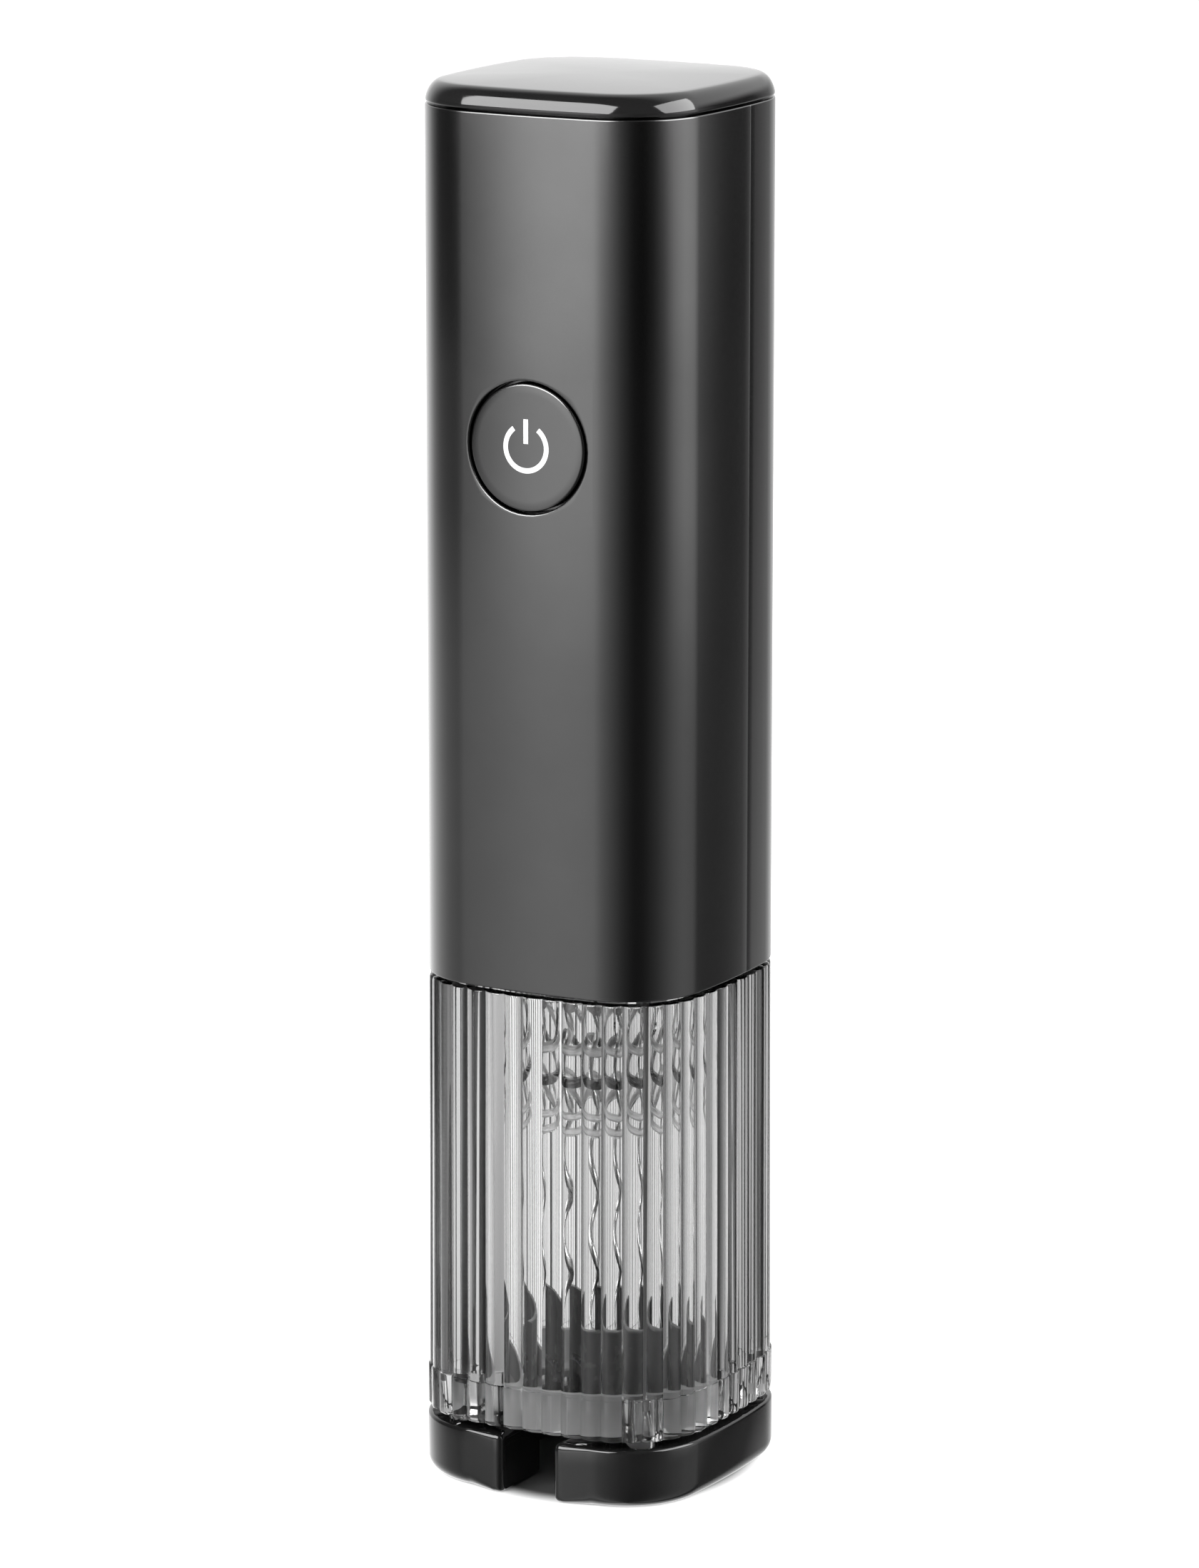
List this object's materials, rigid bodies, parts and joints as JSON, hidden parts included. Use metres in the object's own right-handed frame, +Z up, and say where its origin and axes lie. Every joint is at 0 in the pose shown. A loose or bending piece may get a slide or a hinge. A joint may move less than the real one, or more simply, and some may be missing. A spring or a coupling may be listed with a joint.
{
  "type": "electric wine opener",
  "caption": "Cordless corkscrew: tall rounded square body with a front push button, fluted see-through chamber round a driven worm, standing on its squeeze-jaw foil cutter.",
  "frame": {"origin": "centre of the footprint, on the surface it stands on", "axes": "+Z up along the body, the button's side faces -Y, +X to its right"},
  "size_m": [0.0562, 0.0561, 0.257],
  "materials": {
    "cap_gloss": "polished black",
    "shell_satin": "satin anthracite",
    "button_satin": "satin anthracite",
    "cutter_gloss": "polished black",
    "smoke_clear": "clear, tinted smoke grey",
    "clear_plastic": "clear",
    "guide_grey": "satin light grey",
    "wheel_steel": "ground",
    "pin_steel": "ground",
    "spring_steel": "drawn",
    "screw_steel": "plated",
    "worm_steel": "polished",
    "hub_plastic": "moulded black",
    "spindle_steel": "turned",
    "gear_nylon": "moulded natural",
    "gearbox_plastic": "moulded",
    "frame_plastic": "moulded",
    "bearing_bronze": "sintered",
    "pinion_brass": "cut",
    "motor_steel": "zinc plated",
    "magnet_ferrite": "ground",
    "core_steel": "laminated",
    "cell_jacket": "shrunk sleeve",
    "board_green": "solder mask",
    "inlet_steel": "plated"
  },
  "bodies": {
    "stand": {"cutter_spine": "cutter_gloss", "hinge_pins": "pin_steel", "cutter_spring": "spring_steel"},
    "jaw_left": {"jaw_left": "cutter_gloss", "wheel_axles_left": "pin_steel"},
    "jaw_right": {"jaw_right": "cutter_gloss", "wheel_axles_right": "pin_steel"},
    "wheel_left_1": {"cutting_wheel_left_1": "wheel_steel"},
    "wheel_left_2": {"cutting_wheel_left_2": "wheel_steel"},
    "wheel_right_1": {"cutting_wheel_right_1": "wheel_steel"},
    "wheel_right_2": {"cutting_wheel_right_2": "wheel_steel"},
    "button": {"button_cap": "button_satin", "switch_plunger": "hub_plastic"},
    "rotor": {"motor_shaft": "spindle_steel", "motor_armature": "core_steel", "motor_pinion": "pinion_brass"},
    "carrier_1": {"first_carrier": "gear_nylon", "planet_pins_1": "pin_steel"},
    "output": {"second_carrier": "gear_nylon", "planet_pins_2": "pin_steel", "output_spindle": "spindle_steel", "worm_hub": "hub_plastic", "worm": "worm_steel", "worm_set_screw": "screw_steel"},
    "planet_1a": {"planet_gear_1a": "gear_nylon"},
    "planet_1b": {"planet_gear_1b": "gear_nylon"},
    "planet_1c": {"planet_gear_1c": "gear_nylon"},
    "planet_2a": {"planet_gear_2a": "gear_nylon"},
    "planet_2b": {"planet_gear_2b": "gear_nylon"},
    "planet_2c": {"planet_gear_2c": "gear_nylon"},
    "opener": {"top_cap": "cap_gloss", "front_shell": "shell_satin", "rear_cover": "shell_satin", "chamber": "smoke_clear", "cork_guide": "clear_plastic", "neck_guide_ring": "guide_grey", "button_spring": "spring_steel", "chamber_screws": "screw_steel", "frame_screws": "screw_steel", "gearbox_screws": "screw_steel", "motor_screws": "screw_steel", "board_screws": "screw_steel", "shell_screws": "screw_steel", "motor_end_cap": "hub_plastic", "switch_housing": "hub_plastic", "ring_gear": "gearbox_plastic", "gearbox_cover": "gearbox_plastic", "base_plate": "frame_plastic", "inner_frame": "frame_plastic", "button_retainer": "frame_plastic", "spindle_bearing": "bearing_bronze", "motor_terminals": "pinion_brass", "battery_contacts": "pinion_brass", "motor_plate": "motor_steel", "motor_can": "motor_steel", "motor_magnets": "magnet_ferrite", "battery_cells": "cell_jacket", "main_board": "board_green", "charge_board": "board_green", "charging_inlet": "inlet_steel"}
  },
  "joints": [
    {"name": "opener_lift", "type": "slide", "parent": "stand", "child": "opener", "axis": [0, 0, 1], "range_m": [0, 0.045]},
    {"name": "jaw_right_squeeze", "type": "hinge", "parent": "stand", "child": "jaw_right", "pos_m": [0.0034, 0.0215, 0.005], "axis": [0, 0, -1], "range_deg": [0, 3], "stiffness_Nm_per_rad": 0.4, "springref_deg": -3.44},
    {"name": "jaw_left_squeeze", "type": "hinge", "parent": "stand", "child": "jaw_left", "pos_m": [-0.0034, 0.0215, 0.005], "axis": [0, 0, 1], "range_deg": [0, 3], "stiffness_Nm_per_rad": 0.4, "springref_deg": -3.44},
    {"name": "button_press", "type": "slide", "parent": "opener", "child": "button", "axis": [0, 1, 0], "range_m": [0, 0.0008], "stiffness_N_per_m": 1500, "springref_m": -0.0008, "deforming": ["button_spring"]},
    {"name": "output_spin", "type": "hinge", "parent": "opener", "child": "output", "pos_m": [0, 0, 0], "axis": [0, 0, 1], "continuous": true},
    {"name": "carrier_1_spin", "type": "hinge", "parent": "opener", "child": "carrier_1", "pos_m": [0, 0, 0], "axis": [0, 0, 1], "continuous": true},
    {"name": "rotor_spin", "type": "hinge", "parent": "opener", "child": "rotor", "pos_m": [0, 0, 0], "axis": [0, 0, 1], "continuous": true},
    {"name": "planet_1a_spin", "type": "hinge", "parent": "carrier_1", "child": "planet_1a", "pos_m": [0.009, 0, 0], "axis": [0, 0, 1], "continuous": true},
    {"name": "planet_1b_spin", "type": "hinge", "parent": "carrier_1", "child": "planet_1b", "pos_m": [-0.0045, 0.00779, 0], "axis": [0, 0, 1], "continuous": true},
    {"name": "planet_1c_spin", "type": "hinge", "parent": "carrier_1", "child": "planet_1c", "pos_m": [-0.0045, -0.00779, 0], "axis": [0, 0, 1], "continuous": true},
    {"name": "planet_2a_spin", "type": "hinge", "parent": "output", "child": "planet_2a", "pos_m": [0.009, 0, 0], "axis": [0, 0, 1], "continuous": true},
    {"name": "planet_2b_spin", "type": "hinge", "parent": "output", "child": "planet_2b", "pos_m": [-0.0045, 0.00779, 0], "axis": [0, 0, 1], "continuous": true},
    {"name": "planet_2c_spin", "type": "hinge", "parent": "output", "child": "planet_2c", "pos_m": [-0.0045, -0.00779, 0], "axis": [0, 0, 1], "continuous": true},
    {"name": "wheel_right_1_spin", "type": "hinge", "parent": "jaw_right", "child": "wheel_right_1", "pos_m": [0.01411, -0.01102, 0], "axis": [0, 0, 1], "continuous": true},
    {"name": "wheel_right_2_spin", "type": "hinge", "parent": "jaw_right", "child": "wheel_right_2", "pos_m": [0.01595, 0.00813, 0], "axis": [0, 0, 1], "continuous": true},
    {"name": "wheel_left_1_spin", "type": "hinge", "parent": "jaw_left", "child": "wheel_left_1", "pos_m": [-0.01411, -0.01102, 0], "axis": [0, 0, 1], "continuous": true},
    {"name": "wheel_left_2_spin", "type": "hinge", "parent": "jaw_left", "child": "wheel_left_2", "pos_m": [-0.01595, 0.00813, 0], "axis": [0, 0, 1], "continuous": true}
  ],
  "couplings": [
    {"joint": "jaw_left_squeeze", "follows": "jaw_right_squeeze", "ratio": 1},
    {"joint": "carrier_1_spin", "follows": "output_spin", "ratio": 6.6667},
    {"joint": "rotor_spin", "follows": "output_spin", "ratio": 44.444},
    {"joint": "planet_1a_spin", "follows": "output_spin", "ratio": -16.19},
    {"joint": "planet_1b_spin", "follows": "output_spin", "ratio": -16.19},
    {"joint": "planet_1c_spin", "follows": "output_spin", "ratio": -16.19},
    {"joint": "planet_2a_spin", "follows": "output_spin", "ratio": -2.4286},
    {"joint": "planet_2b_spin", "follows": "output_spin", "ratio": -2.4286},
    {"joint": "planet_2c_spin", "follows": "output_spin", "ratio": -2.4286}
  ]
}
